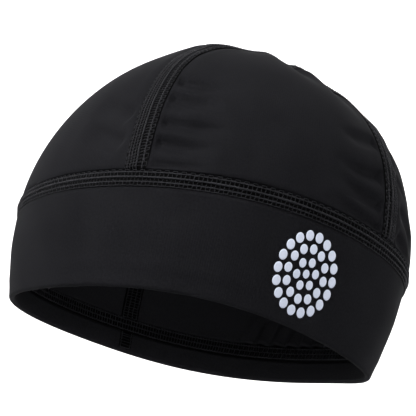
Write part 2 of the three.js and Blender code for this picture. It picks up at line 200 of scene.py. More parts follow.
# A drag line's trough is steeper on its upper side, which hangs over, than on its lower side.
STEEP_SIDE = 0.7
SLACK_SIDE = 1.35

# Gathers inside, over the hem seam, where the crown was sewn in with too much length.
GATHERS = {"from_angle": 101, "to_angle": 141, "count": 7, "top": 36, "depth": 2.6}

# The threads of the crown's seams, outside. "aside" is off the seam's middle, to the back of the front
# seams, "swing" is how far a thread goes to each side, "lift" how high it lies on the cloth, and "phase" by
# what part of a wave it is shifted along the seam.
CROWN_THREADS = table(
    "form aside swing radius lift phase",
    ("ladder", 4.25, 0.45, 0.17, 0.22, 0),
    ("line", 3.75, 0.05, 0.25, 0.42, 0),
    ("ladder", 3.1, 0.6, 0.2, 0.32, 0.5),
    ("line", 2.4, 0.06, 0.27, 0.46, 0.5),
    ("ladder", 1.8, 0.55, 0.19, 0.3, 0),
    ("line", 1.2, 0.06, 0.2, 0.4, 0),
    ("ladder", 0.55, 0.6, 0.19, 0.3, 0.5),
    ("line", -0.3, 0.05, 0.38, 0.62, 0),
    ("ladder", -1.65, 1.2, 0.2, 0.32, 0),
    ("line", -3, 0.08, 0.3, 0.5, 0.5),
    ("ladder", -4, 0.7, 0.18, 0.26, 0.5),
)

# The threads of the seam between the band and the crown, outside. "aside" is upwards.
BAND_THREADS = table(
    "form aside swing radius lift phase",
    ("ladder", 2.9, 0.3, 0.18, 0.24, 0.5),
    ("line", 2.3, 0.05, 0.25, 0.46, 0),
    ("ladder", 1.4, 0.85, 0.22, 0.3, 0),
    ("line", 0.4, 0.05, 0.42, 0.62, 0),
    ("ladder", -0.5, 0.7, 0.2, 0.26, 0.5),
    ("line", -1.4, 0.06, 0.28, 0.42, 0.5),
    ("ladder", -2.15, 0.6, 0.2, 0.24, 0),
    ("line", -2.85, 0.05, 0.18, 0.2, 0),
)

# The threads on the head's side of every seam: rails with bars between them.
INNER_CROWN_THREADS = table(
    "form aside swing radius lift phase",
    ("line", 3.9, 0.1, 0.3, 0.45, 0.0),
    ("ladder", 2.6, 1.2, 0.24, 0.35, 0.0),
    ("line", 1.3, 0.1, 0.3, 0.5, 0.5),
    ("ladder", 0.0, 1.2, 0.24, 0.35, 0.5),
    ("line", -1.3, 0.1, 0.3, 0.5, 0.0),
    ("ladder", -2.6, 1.2, 0.24, 0.35, 0.0),
    ("line", -3.9, 0.1, 0.3, 0.45, 0.5),
)
HEM_THREADS = table(
    "form aside swing radius lift phase",
    ("line", 2.7, 0.12, 0.34, 0.5, 0.0),
    ("ladder", 1.35, 1.3, 0.28, 0.4, 0.0),
    ("line", 0.0, 0.12, 0.3, 0.5, 0.5),
    ("ladder", -1.35, 1.3, 0.28, 0.4, 0.5),
    ("line", -2.7, 0.12, 0.34, 0.5, 0.0),
)
BACK_SEAM_THREADS = table(
    "form aside swing radius lift phase",
    ("line", 2.8, 0.15, 0.26, 0.3, 0.0),
    ("ladder", 0.0, 2.6, 0.24, 0.3, 0.0),
    ("line", -2.8, 0.15, 0.26, 0.3, 0.5),
)

# Fineness of the meshes, in millimetres and in rows or columns.
CLOTH_STEP = 1.6
FACING_ROWS = 8
RIM_FOLD_ROWS = 11
LAP_ROWS = 17
RISE_ROWS = 6
BED_STEP = 1.2
BED_COLUMNS = 9

# Beside a crown seam the jersey is drawn in under the stitches, and stands up in a low roll behind that.
# Both fade in above the band's seam.
SEAM_DIP = {"depth": 0.35, "width": 0.9}
SEAM_ROLL = {"height": 0.22, "middle": 4.2, "width": 2.6}
ROLL_FADE = {"start": 3, "length": 6}

# The drag lines fade in above the band's seam, and over the first millimetres beside the crown's seams.
DRAG_FADE = {"start": 0.5, "length": 3, "beside": 3.6}

# A seam's bed is the cloth under its threads. It is a little crowned, and stands this far out of the cloth
# outside and on the head's side. A ring's bed is this much narrower than its seam at each edge.
BED_CROWN = 0.12
BED_PROUD = 0.05
CROWN_BED_INNER = 0.15
HEM_BED_INNER = 0.1
CLOSING_BED = {"outer": 0.05, "inner": 0.4}
RING_EDGE = 0.05
# At this height every cloth has come out to its own level.
FREE_HEIGHT = 60.0

# The round print: its middle in degrees and millimetres, its rings of dots, the shares of its radius that
# they reach and that a dot has, and in millimetres how much a dot grows from ring to ring.
PRINT = {"angle": 8.0, "height": 19.0, "rings": 4, "reach": 0.88, "dot": 0.1, "growth": 0.12}
PRINT_TWIST = 0.26
DOT_CORNERS = 20
DOT_INSET = 0.3
FILM_LIFT = 0.12
FILM = 0.1

# Where the points of a thread lie in each of its waves. A ladder's thread crosses to the other rail in the
# first short step and back in the third, so that its bars stand square to the seam.
WAVE_PHASES = {
    "line": np.arange(5) / 5,
    "ladder": np.array([0.0, 0.07, 0.5, 0.57]),
}
LADDER_SIDES = np.array([-1.0, 1.0, 1.0, -1.0])
WAVES_PER_STITCH = {"line": 1.0, "ladder": 0.5}
# How deep a thread dips where the needle took it down.
LINE_DIP = 0.26
LADDER_DIP = 0.12

# The photograph's frame, and the camera that the cap's outline, rim and seams in it fit.
PHOTO_PIXELS = 416
CAMERA = {"azimuth": -17.5, "elevation": -14.0, "roll": 14.03, "distance": 0.8405, "focal_pixels": 1926.6}
CAMERA_AIM = Vector((0.0, 0.0, (60.0 - SEAT_HEIGHT) * MM))
CAMERA_SHIFT_PIXELS = (10.1, -1.0)
SENSOR_WIDTH = 36.0

# The paper bowl, in metres. Its floor is low enough that it doesn't hide the cap from a camera below it.
FLOOR_LEVEL = -1.7
BOWL = {"radius": 3.0, "corner": 1.2, "wall": 3.2, "sides": 96, "steps": 10, "inset": 0.4}
WHITE_LEVEL = -0.2

LIGHTS = table(
    "name place aim size power",
    ("key_light", (-1.7, -0.3, 0.7), CAP_MIDDLE, 0.7, 60),
    ("top_light", (-0.3, -0.6, 1.9), CAP_MIDDLE, 0.7, 17),
    ("fill_light", (1.6, -0.9, 0.5), CAP_MIDDLE, 1.2, 9),
    ("low_light", (-0.2, -1.6, -0.55), CAP_MIDDLE, 0.8, 6),
    ("back_light", (0.7, 1.6, 0.9), CAP_MIDDLE, 1.4, 5),
    ("wall_light", (0.8, 0.9, 1.9), (0.8, 2.9, 0.7), 1.0, 60),
)
WORLD_STRENGTH = 0.65


# The form of the cap.


def lower_factor(height):
    """Radius factor of the wall between the rim and the widest level, on a smooth curve."""
    rows = LOWER_WALL
    heights = np.array([row["height"] for row in rows], float)
    factors = np.array([row["factor"] for row in rows])
    index = np.clip(np.searchsorted(heights, height, side="left") - 1, 0, len(rows) - 2)
    part = (height - heights[index]) / (heights[index + 1] - heights[index])
    before = factors[np.maximum(index - 1, 0)]
    after = factors[np.minimum(index + 2, len(rows) - 1)]
    low, high = factors[index], factors[index + 1]
    square, cube = part**2, part**3
    eased = low * (2 * cube - 3 * square + 1) + (high - before) / 2 * (cube - 2 * square + part)
    return eased + high * (3 * square - 2 * cube) + (after - low) / 2 * (cube - square)


def make_profile():
    """Arc length from the crown's top, radius factor and height, from the top down to the rim."""
    turn = np.linspace(0, math.pi / 2, 1201)
    factor = np.sin(turn) ** (2 / DOME_FULLNESS)
    rise = np.clip(np.cos(turn), 0, 1) ** (2 / DOME_FULLNESS)
    height = WIDEST_HEIGHT + (CAP_HEIGHT - WIDEST_HEIGHT) * rise
    wall = np.linspace(WIDEST_HEIGHT, 0, 301)[1:]
    factor = np.concatenate([factor, lower_factor(wall)])
    height = np.concatenate([height, wall])
    steps = np.hypot(np.diff(factor) * MEAN_RADIUS, np.diff(height))
    return np.concatenate([[0], np.cumsum(steps)]), factor, height


PROFILE_ARC, PROFILE_FACTOR, PROFILE_HEIGHT = make_profile()


def arc_at_height(height):
    return np.interp(height, PROFILE_HEIGHT[::-1], PROFILE_ARC[::-1])


def layout_place(angle, arc):
    """A place of the flat layout from its angle in radians and its arc from the crown's top."""
    return np.stack(np.broadcast_arrays(arc * np.sin(angle), arc * np.cos(angle)), axis=-1)


def nominal_height(place):
    """Height above the rim at places of the flat layout, before the slow waves lift them."""
    return np.interp(np.hypot(place[..., 0], place[..., 1]), PROFILE_ARC, PROFILE_HEIGHT)


def real_radius(arc):
    """Mean distance of the cloth from the head's axis."""
    return np.interp(arc, PROFILE_ARC, PROFILE_FACTOR) * MEAN_RADIUS


def layout_stretch(place):
    """Width in the flat layout of one millimetre of real cloth, round the head."""
    arc = np.hypot(place[..., 0], place[..., 1])
    return np.where(arc < 2, 1.0, arc / np.maximum(real_radius(arc), 0.1))


def smooth_step(part):
    part = np.clip(part, 0, 1)
    return part * part * (3 - 2 * part)


def wave_sum(waves, angle):
    total = 0 * angle
    for wave in waves:
        turned = wave["turns"] * angle
        total = total + wave["cosine"] * np.cos(turned) + wave["sine"] * np.sin(turned)
    return total


def wave_lift(angle, height):
    """How far the slow waves lift the wall: the rim's at the rim, the seam's at the band's seam."""
    seam_part = np.clip(height / SEAM_WAVE_LEVEL, 0, 1)
    lift = wave_sum(RIM_WAVES, angle) * (1 - seam_part) + wave_sum(SEAM_WAVES, angle) * seam_part
    return lift * (1 - smooth_step((height - SEAM_WAVE_LEVEL) / WAVE_FADE))


def outside_at(place):
    """The cap's outside, in millimetres above the rim, at places of the flat layout."""
    arc = np.hypot(place[..., 0], place[..., 1])
    angle = np.arctan2(place[..., 0], place[..., 1])
    height = nominal_height(place)
    fullness = 1 - PLAN_FULLNESS * np.cos(4 * angle) * (1 - (height / CAP_HEIGHT) ** 2)
    factor = np.interp(arc, PROFILE_ARC, PROFILE_FACTOR) * fullness
    across = HALF_WIDTH * factor * np.sin(angle)
    back = -HALF_LENGTH * factor * np.cos(angle)
    return np.stack([across, back, height + wave_lift(angle, height)], axis=-1)


def normal_at(place):
    nudge = 0.5
    sideways = outside_at(place + [nudge, 0]) - outside_at(place - [nudge, 0])
    onwards = outside_at(place + [0, nudge]) - outside_at(place - [0, nudge])
    normal = np.cross(onwards, sideways)
    return normal / np.linalg.norm(normal, axis=-1, keepdims=True)


def fold_lift(angle, height):
    """How far the main folds lift the cloth. The angle is in degrees."""
    lift = np.zeros_like(height)
    for fold in FOLDS:
        turn = (angle - fold["angle"] + 180) % 360 - 180
        upwards = (height - fold["height"] - fold["tilt"] * turn) / fold["half_height"]
        lift += fold["depth"] * np.exp(-((turn / fold["half_angle"]) ** 2) - upwards**2)
    return lift


def drag_lift(angle, height):
    """How far the drag lines at the seams lift the cloth."""
    lift = np.zeros_like(height)
    for line in DRAG_LINES:
        level = (line["from_height"] + line["to_height"]) / 2
        radius = MEAN_RADIUS * np.interp(arc_at_height(level), PROFILE_ARC, PROFILE_FACTOR)
        millimetres = math.radians(1) * radius
        way = np.array([
            (line["to_angle"] - line["from_angle"]) * millimetres,
            line["to_height"] - line["from_height"],
        ])
        length = np.hypot(*way)
        way /= length
        turn = ((angle - line["from_angle"] + 180) % 360 - 180) * millimetres
        rise = height - line["from_height"]
        along = (turn * way[0] + rise * way[1]) / length
        # The trough widens on its way, fades in at the seam and fades out over its further half.
        across = (rise * abs(way[0]) - turn * way[1] * np.sign(way[0])) / (1 + 0.4 * np.clip(along, 0, 1))
        off = across / (line["width"] * np.where(across > 0, STEEP_SIDE, SLACK_SIDE))
        fade = np.clip((along + 0.06) / 0.16, 0, 1) * np.clip((1.15 - along) / 0.6, 0, 1)
        fade = fade * fade * (3 - 2 * fade)
        lift += line["depth"] * fade * np.exp(-(off**2))
    return lift


def placed(place, offset):
    """Points of a piece, in metres: places of the layout, moved out (+) or in (-) of the cap's outside."""
    angle = np.degrees(np.arctan2(place[..., 0], place[..., 1]))
    height = nominal_height(place)
    from_dent = place - [SLACK_DENT["across"], SLACK_DENT["forward"]]
    dent = SLACK_DENT["depth"] * np.exp(-np.sum(from_dent**2, axis=-1) / SLACK_DENT["half_size"] ** 2)
    lift = offset + dent + fold_lift(angle, height)
    return (outside_at(place) + normal_at(place) * lift[..., None] + SHIFT) * MM


def crown_level(height):
    """The crown's cloth lies behind the band, and comes out to its level above the band's seam."""
    return BEHIND_BAND * (1 - smooth_step((height - BAND_SEAM_TOP - SEAM_EDGE) / CROWN_RISE))


def catmull_rom(points, count):
    """A smooth line through points, with count places on it."""
    points = np.array(points, float)
    at = np.linspace(0, len(points) - 1, count)
    index = np.minimum(at.astype(int), len(points) - 2)
    part = (at - index)[:, None]
    near = [points[np.clip(index + step, 0, len(points) - 1)] for step in (-1, 0, 1, 2)]
    start, end = (near[2] - near[0]) / 2, (near[3] - near[1]) / 2
    cubic = (2 * near[1] - 2 * near[2] + start + end) * part**3
    square = (-3 * near[1] + 3 * near[2] - 2 * start - end) * part**2
    return cubic + square + start * part + near[1]


class CrownSeam:
    """The line of a crown seam in the flat layout, from below the crown's foot up to the meeting place."""

    def __init__(self, points, handed):
        self.line = points
        self.handed = handed
        steps = np.linalg.norm(np.diff(outside_at(points), axis=0), axis=1)
        self.distance = np.concatenate([[0], np.cumsum(steps)])
        self.length = self.distance[-1]

    def place(self, along, aside):
        """Places "aside" millimetres off the line, at millimetres along it."""
        middle = self.at(along)
        ahead = self.at(np.minimum(along + 0.5, self.length))
        behind = self.at(np.maximum(along - 0.5, 0))
        way = (ahead - behind) / np.linalg.norm(ahead - behind, axis=-1, keepdims=True)
        off = self.handed * aside * layout_stretch(middle)
        return middle + np.stack([way[..., 1] * off, -way[..., 0] * off], axis=-1)

    def at(self, along):
        return np.stack([np.interp(along, self.distance, self.line[:, i]) for i in (0, 1)], axis=-1)

    def along_at_radius(self, radius):
        reach = row_radius(self.line)
        order = np.argsort(reach)
        return float(np.interp(radius, reach[order], self.distance[order]))

    def edge(self, aside, radii):
        """Places on a line beside the seam, on the circles of the crown's rows."""
        along = np.linspace(0, self.length, 3000)
        places = self.place(along, np.full_like(along, aside))
        reach = row_radius(places)
        order = np.argsort(reach)
        return np.stack([np.interp(radii, reach[order], places[order, i]) for i in (0, 1)], axis=-1)


class RingSeam:
    """A seam round the whole cap at one height. "aside" is upwards."""

    def __init__(self, height):
        self.height = height
        self.angle = np.linspace(0, 2 * math.pi, 1441)
        points = outside_at(layout_place(self.angle, arc_at_height(height)))
        steps = np.linalg.norm(np.diff(points, axis=0), axis=1)
        self.distance = np.concatenate([[0], np.cumsum(steps)])
        self.length = self.distance[-1]

    def place(self, along, aside):
        angle = np.interp(along, self.distance, self.angle)
        return layout_place(angle, arc_at_height(self.height + aside))


class UprightSeam:
    """A short upright seam at one angle, from a low to a high level. "aside" is to the wearer's left."""

    def __init__(self, angle, low, high):
        self.angle, self.low, self.high = angle, low, high
        self.length = high - low

    def place(self, along, aside):
        arc = arc_at_height(self.low + along)
        turn = aside / real_radius(arc)
        return layout_place(self.angle - turn, arc)


FOOT_ARC = float(arc_at_height(CROWN_FOOT))
OUTER_CIRCLE = float(arc_at_height(BAND_SEAM_TOP + GAP + SEAM_LAP))
FRONT_LINE = catmull_rom([(row["across"], row["forward"]) for row in FRONT_SEAM], 8001)
MEETING = len(FRONT_LINE) // 2
MEETING_PLACE = FRONT_LINE[MEETING]


def circle_centre(radius):
    """Centre of a crown row's circle: the crown's top at the foot, the seams' meeting place near that."""
    part = np.clip((radius - INNER_CIRCLE) / (OUTER_CIRCLE - INNER_CIRCLE), 0, 1)
    return MEETING_PLACE * (1 - part)[..., None]


def row_radius(place):
    """Radius of the crown row's circle that passes through a place."""
    low = np.zeros(place.shape[:-1])
    high = np.full(place.shape[:-1], 2 * OUTER_CIRCLE)
    for _ in range(40):
        middle = (low + high) / 2
        outside = np.linalg.norm(place - circle_centre(middle), axis=-1) > middle
        low = np.where(outside, middle, low)
        high = np.where(outside, high, middle)
    return (low + high) / 2


def back_line():
    """The back seam's line, from below the crown's foot over its top to the front seam."""
    way = FRONT_LINE[MEETING + 1] - FRONT_LINE[MEETING - 1]
    way = way / np.linalg.norm(way)
    top = MEETING_PLACE + np.array([way[1], -way[0]]) * (SEAM_WIDTH / 2 - SEAM_TUCK)
    foot = np.array([0.0, -1.1 * FOOT_ARC])
    part = np.linspace(0, 1, 2001)[:, None]
    return foot + (top - foot) * part


RIGHT_SEAM = CrownSeam(FRONT_LINE[: MEETING + 1], 1)
LEFT_SEAM = CrownSeam(FRONT_LINE[MEETING:][::-1], -1)
BACK_SEAM = CrownSeam(back_line(), 1)
BAND_SEAM = RingSeam(BAND_HEIGHT)
HEM_SEAM = RingSeam((HEM_SEAM_FOOT + HEM_SEAM_TOP) / 2)
BAND_CLOSING = UprightSeam(math.pi, 1.8, FACING_HEIGHT)


# Tools for meshes and materials.


def deselect_all():
    if bpy.context.object and bpy.context.object.mode != "OBJECT":
        bpy.ops.object.mode_set(mode="OBJECT")
    bpy.ops.object.select_all(action="DESELECT")


def select_only(obj):
    deselect_all()
    obj.select_set(True)
    bpy.context.view_layer.objects.active = obj


def apply_modifiers(obj):
    select_only(obj)
    for modifier in list(obj.modifiers):
        bpy.ops.object.modifier_apply(modifier=modifier.name)


def lay_cloth(name, points, layout, thickness, material, wrong_side=None):
    """One cloth: a grid laid out flat, put on the form row by row, and given its thickness inwards."""
    rows, columns = points.shape[:2]
    deselect_all()
    bpy.ops.mesh.primitive_grid_add(x_subdivisions=columns - 1, y_subdivisions=rows - 1, size=1)
    obj = bpy.context.object
    obj.name = name
    obj.data.name = name
    flat = np.empty(len(obj.data.vertices) * 3)
    obj.data.vertices.foreach_get("co", flat)
    flat = flat.reshape(-1, 3)
    column = np.rint((flat[:, 0] + 0.5) * (columns - 1)).astype(int)
    row = np.rint((flat[:, 1] + 0.5) * (rows - 1)).astype(int)
    obj.data.vertices.foreach_set("co", points[row, column].ravel())
    corners = np.empty(len(obj.data.loops), int)
    obj.data.loops.foreach_get("vertex_index", corners)
    uv = layout[row[corners], column[corners]]
    obj.data.uv_layers.active.data.foreach_set("uv", uv.ravel())
    obj.data.update()
    bpy.ops.object.mode_set(mode="EDIT")
    bpy.ops.mesh.select_all(action="SELECT")
    bpy.ops.mesh.remove_doubles(threshold=2e-6)
    bpy.ops.object.mode_set(mode="OBJECT")
    obj.data.materials.append(material)
    if wrong_side:
        obj.data.materials.append(wrong_side)
    solid = obj.modifiers.new("thickness", "SOLIDIFY")
    solid.thickness = thickness * MM
    solid.offset = -1
    solid.material_offset = 1 if wrong_side else 0
    apply_modifiers(obj)
    bpy.ops.object.shade_smooth()
    return obj


def thread_points(seam, row, stitch, base_level, side, start, end, closed):
    """The way of one thread along a seam, in metres."""
    waves = max(2, round((end - start) / stitch * WAVES_PER_STITCH[row["form"]]))
    phases = WAVE_PHASES[row["form"]]
    cycle = (np.arange(waves)[:, None] + phases).ravel()
    beat = 2 * math.pi * (cycle + row["phase"])
    if row["form"] == "ladder":
        sideways = np.tile(LADDER_SIDES, waves)
        dip = LADDER_DIP * np.abs(np.sin(beat))
        shift = row["phase"] / waves if closed else 0.0
    else:
        sideways = np.sin(beat)
        dip = LINE_DIP * (1 - np.cos(beat)) / 2
        shift = 0.0
    aside = row["aside"] + row["swing"] * sideways
    along = start + (end - start) * (cycle / waves + shift)
    place = seam.place(along, aside)
    offset = base_level(nominal_height(place)) + side * (row["lift"] - dip)
    return placed(place, offset)


def stitch_threads(name, strands, material):
    """Threads as round curves, all in one mesh. A strand is its points, its radius and if it is closed."""
    curve = bpy.data.curves.new(name, "CURVE")
    curve.dimensions = "3D"
    curve.bevel_depth = MM
    curve.bevel_resolution = 0
    curve.use_fill_caps = True
    for points, radius, closed in strands:
        spline = curve.splines.new("POLY")
        spline.points.add(len(points) - 1)
        four = np.concatenate([points, np.ones((len(points), 1))], axis=1)
        spline.points.foreach_set("co", four.ravel())
        spline.points.foreach_set("radius", np.full(len(points), radius))
        spline.use_cyclic_u = closed
    obj = bpy.data.objects.new(name, curve)
    bpy.context.scene.collection.objects.link(obj)
    select_only(obj)
    bpy.ops.object.convert(target="MESH")
    obj = bpy.context.object
    bpy.ops.object.shade_smooth()
    obj.data.materials.clear()
    obj.data.materials.append(material)
    return obj


def join(objects, name):
    select_only(objects[0])
    for obj in objects[1:]:
        obj.select_set(True)
    bpy.ops.object.join()
    joined = bpy.context.object
    joined.name = name
    joined.data.name = name
    return joined


def linear(hex_colour):
    """An sRGB hex value as the linear colour that nodes take."""
    channels = [int(hex_colour[i : i + 2], 16) / 255 for i in (1, 3, 5)]
    bent = [c / 12.92 if c <= 0.04045 else ((c + 0.055) / 1.055) ** 2.4 for c in channels]
    return (*bent, 1.0)


def node(tree, kind, settings=None, **links):
    """Adds a node, sets its fields and sockets, and links sockets to it."""
    made = tree.nodes.new("ShaderNode" + kind)
    for key, value in (settings or {}).items():
        if isinstance(key, str) and hasattr(made, key):
            setattr(made, key, value)
        else:
            made.inputs[key].default_value = value
    for key, source in links.items():
        socket = made.inputs[int(key[2:])] if key.startswith("in") else made.inputs[key.replace("_", " ")]
        tree.links.new(source, socket)
    return made


def jersey_shader(tree, colours):
    """Polyester and elastane jersey, circular knitted, dyed black: matt, with next to no sheen."""
    uv = node(tree, "UVMap").outputs["UV"]
    # The wales of such jersey are about 0.35 mm apart: drawn 1.1 mm apart, as fine as the render shows.
    wales = node(tree, "TexWave", {"wave_type": "BANDS", "bands_direction": "X", "Scale": 0.29,
                 "Distortion": 1.2, "Detail": 2.0, "Detail Scale": 2.0}, Vector=uv)
    grain = node(tree, "TexNoise", {"Scale": 1.1, "Detail": 3.0, "Roughness": 0.65}, Vector=uv)
    cloud = node(tree, "TexNoise", {"Scale": 0.045, "Detail": 2.0, "Roughness": 0.5}, Vector=uv)
    tone = node(tree, "Math", {"operation": "MULTIPLY_ADD", 1: 3.0, 2: -1.4}, in0=grain.outputs["Fac"])
    shade = node(tree, "Math", {"operation": "MULTIPLY_ADD", 1: 0.8}, in0=cloud.outputs["Fac"],
                 in2=tone.outputs[0])
    mix = node(tree, "MixRGB", {"blend_type": "MIX", "Color1": colours.deep,
               "Color2": colours.face}, Fac=shade.outputs[0])
    rough = node(tree, "MapRange", {"From Min": 0.3, "From Max": 0.7, "To Min": 0.72, "To Max": 0.86},
                 Value=grain.outputs["Fac"])
    relief = node(tree, "Math", {"operation": "MULTIPLY_ADD", 1: 0.4}, in0=wales.outputs["Fac"],
                  in2=grain.outputs["Fac"])
    bump = node(tree, "Bump", {"Strength": 0.35, "Distance": 0.00012}, Height=relief.outputs[0])
    shader = node(tree, "BsdfPrincipled", {"IOR": 1.5, "Sheen Weight": 0.002, "Sheen Roughness": 0.5,
                  "Sheen Tint": colours.sheen, "Specular IOR Level": 0.015},
                  Base_Color=mix.outputs[0], Roughness=rough.outputs[0], Normal=bump.outputs[0])
    return shader


def wrong_side_and_painted_facing_shader(tree, colours):
    """The jersey's wrong side, all fine loops: a greyer black than its face, and quite matt. It is also
    painted light on the band's turned-in part, which shows the right side.
    """
    uv = node(tree, "UVMap").outputs["UV"]
    # The loops of such jersey are about 0.4 mm apart: drawn about 1 mm apart, so that they show.
    loops = node(tree, "TexVoronoi", {"feature": "F1", "Scale": 1.0}, Vector=uv)
    mix = node(tree, "MixRGB", {"Color1": colours.loops_and_facing_light, "Color2": colours.face},
               Fac=loops.outputs["Distance"])
    bump = node(tree, "Bump", {"Strength": 0.4, "Distance": 0.00015}, Height=loops.outputs["Distance"])
    shader = node(tree, "BsdfPrincipled", {"Roughness": 0.9, "Specular IOR Level": 0.03},
                  Base_Color=mix.outputs[0], Normal=bump.outputs[0])
    return shader


def thread_shader(tree, colours):
    """Textured polyester overlock thread, spun and dyed: a little brighter and glossier than the jersey."""
    place = node(tree, "TexCoord").outputs["Object"]
    # The plies turn once in about 0.6 mm.
    ply = node(tree, "TexNoise", {"Scale": 1600.0, "Detail": 1.0}, Vector=place)
    worn = node(tree, "TexNoise", {"Scale": 60.0, "Detail": 2.0}, Vector=place)
    fac = node(tree, "Math", {"operation": "MULTIPLY"}, in0=ply.outputs["Fac"], in1=worn.outputs["Fac"])
    more = node(tree, "Math", {"operation": "MULTIPLY", 1: 3.0, "use_clamp": True}, in0=fac.outputs[0])
    mix = node(tree, "MixRGB", {"Color1": colours.thread_deep, "Color2": colours.thread},
               Fac=more.outputs[0])
    bump = node(tree, "Bump", {"Strength": 0.4, "Distance": 0.00008}, Height=ply.outputs["Fac"])
    shader = node(tree, "BsdfPrincipled", {"IOR": 1.5, "Roughness": 0.6, "Specular IOR Level": 0.1},
                  Base_Color=mix.outputs[0], Normal=bump.outputs[0])
    return shader


def seam_bed_painted_shade_shader(tree, colours):
    """The jersey under a seam's threads, pressed flat: painted shade, near black for the shadow under the
    threads and in the needle holes, with no sheen.
    """
    place = node(tree, "TexCoord").outputs["Object"]
    grain = node(tree, "TexNoise", {"Scale": 900.0, "Detail": 2.0}, Vector=place)
    mix = node(tree, "MixRGB", {"Color1": colours.hole_painted_shade, "Color2": colours.hole_edge_painted_shade},
               Fac=grain.outputs["Fac"])
    shader = node(tree, "BsdfPrincipled", {"Roughness": 0.9, "Specular IOR Level": 0.03},
                  Base_Color=mix.outputs[0])
    return shader


def print_shader(tree, colours):
    """Transfer film, heat pressed: pale lavender grey, satin, taking a little of the knit's grain."""
    place = node(tree, "TexCoord").outputs["Object"]
    grain = node(tree, "TexNoise", {"Scale": 1100.0, "Detail": 2.0}, Vector=place)
    mix = node(tree, "MixRGB", {"Color1": colours.print_low, "Color2": colours.print},
               Fac=grain.outputs["Fac"])
    bump = node(tree, "Bump", {"Strength": 0.25, "Distance": 0.00006}, Height=grain.outputs["Fac"])
    shader = node(tree, "BsdfPrincipled", {"Roughness": 0.38, "IOR": 1.5},
                  Base_Color=mix.outputs[0], Normal=bump.outputs[0])
    return shader


def studio_shader(tree, _colours):
    """Matt white seamless paper, painted evenly."""
    place = node(tree, "TexCoord").outputs["Object"]
    mottle = node(tree, "TexNoise", {"Scale": 3.0, "Detail": 2.0}, Vector=place)
    white = node(tree, "MixRGB", {"Color1": linear("#f4f4f4"), "Color2": linear("#f8f8f8")},
                 Fac=mottle.outputs["Fac"])
    # The floor is a pale grey, and the wall is white from just below the cap up.
    height = node(tree, "SeparateXYZ", Vector=place)
    rise = node(tree, "MapRange", {"From Min": FLOOR_LEVEL, "From Max": WHITE_LEVEL},
                Value=height.outputs["Z"])
    mix = node(tree, "MixRGB", {"Color1": linear("#bcbcbe")}, Fac=rise.outputs[0], Color2=white.outputs[0])
    shader = node(tree, "BsdfPrincipled", {"Roughness": 0.9}, Base_Color=mix.outputs[0])
    return shader


SHADERS = {
    "circular_knit_jersey_black": jersey_shader,
    "circular_knit_jersey_wrong_side": wrong_side_and_painted_facing_shader,
    "textured_polyester_thread_black": thread_shader,
    "pressed_jersey_under_stitches": seam_bed_painted_shade_shader,
    "heat_transfer_film_lavender_grey": print_shader,
    "seamless_paper_white": studio_shader,
}


def material_of(scene, name):
    """The material of this name, made the first time that a piece asks for it."""
    material = bpy.data.materials.get(name)
    if material is None:
        material = bpy.data.materials.new(name)
        material.use_nodes = True
        tree = material.node_tree
        tree.nodes.clear()
        shader = SHADERS[name](tree, scene.cap_colours)
        output = node(tree, "OutputMaterial")
        tree.links.new(shader.outputs[0], output.inputs["Surface"])
    return material


def declare(piece, nodes):
    """Hangs a piece on the root body, and hides the solids that it stands for."""
    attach(piece, "root")
    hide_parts(*nodes)


# The pieces.


def band_slack(angle, height):
    """How far the band's slack stands out, in slow waves round the head."""
    return 0.12 * np.sin(3 * angle + 1) + 0.1 * np.sin(7 * angle + height / 9)


def make_band(settings, material, painted_light_facing_material):
    """The band's cloth: up the turned-in part's inside, round the fold at the rim and up the outside."""
    roll = -FACING_LEVEL / 2
    top = BAND_SEAM_FOOT - SEAM_EDGE
    down = np.linspace(FACING_HEIGHT, roll, FACING_ROWS)
    turn = np.linspace(0, math.pi, RIM_FOLD_ROWS)[1:-1]
    up = np.linspace(roll, top, int((top - roll) / CLOTH_STEP))
    heights = np.concatenate([down, roll - roll * np.sin(turn), up])
    levels = np.concatenate([
        np.full(len(down), FACING_LEVEL),
        -roll - roll * np.cos(turn),
        np.zeros(len(up)),
    ])
    columns = int(2 * math.pi * MEAN_RADIUS / CLOTH_STEP)
    angles = np.linspace(0, 2 * math.pi, columns + 1)
    place = layout_place(angles[None, :], arc_at_height(heights)[:, None])
    offset = levels[:, None] + band_slack(angles[None, :], heights[:, None])
    reach = np.concatenate([[0], np.cumsum(np.hypot(np.diff(heights), np.diff(levels)))])
    layout = np.stack(np.broadcast_arrays(angles[None, :] * MEAN_RADIUS, reach[:, None]), axis=-1)
    band = lay_cloth("band", placed(place, offset), layout, settings.cloth * TO_MM, material)
    # The turned-in part shows the jersey's right side, but has the wrong side's greyer, lighter tone, which
    # comes nearer to the photograph: painted light, lighter than its own colour.
    band.data.materials.append(painted_light_facing_material)
    corners = band.data.uv_layers.active.data
    # Painted light: the turned-in part's faces take the lighter wrong-side tone.
    for face in band.data.polygons:
        if max(corners[i].uv.y for i in face.loop_indices) < FACING_HEIGHT:
            face.material_index = 1
    declare(band, ["band"])
    return band


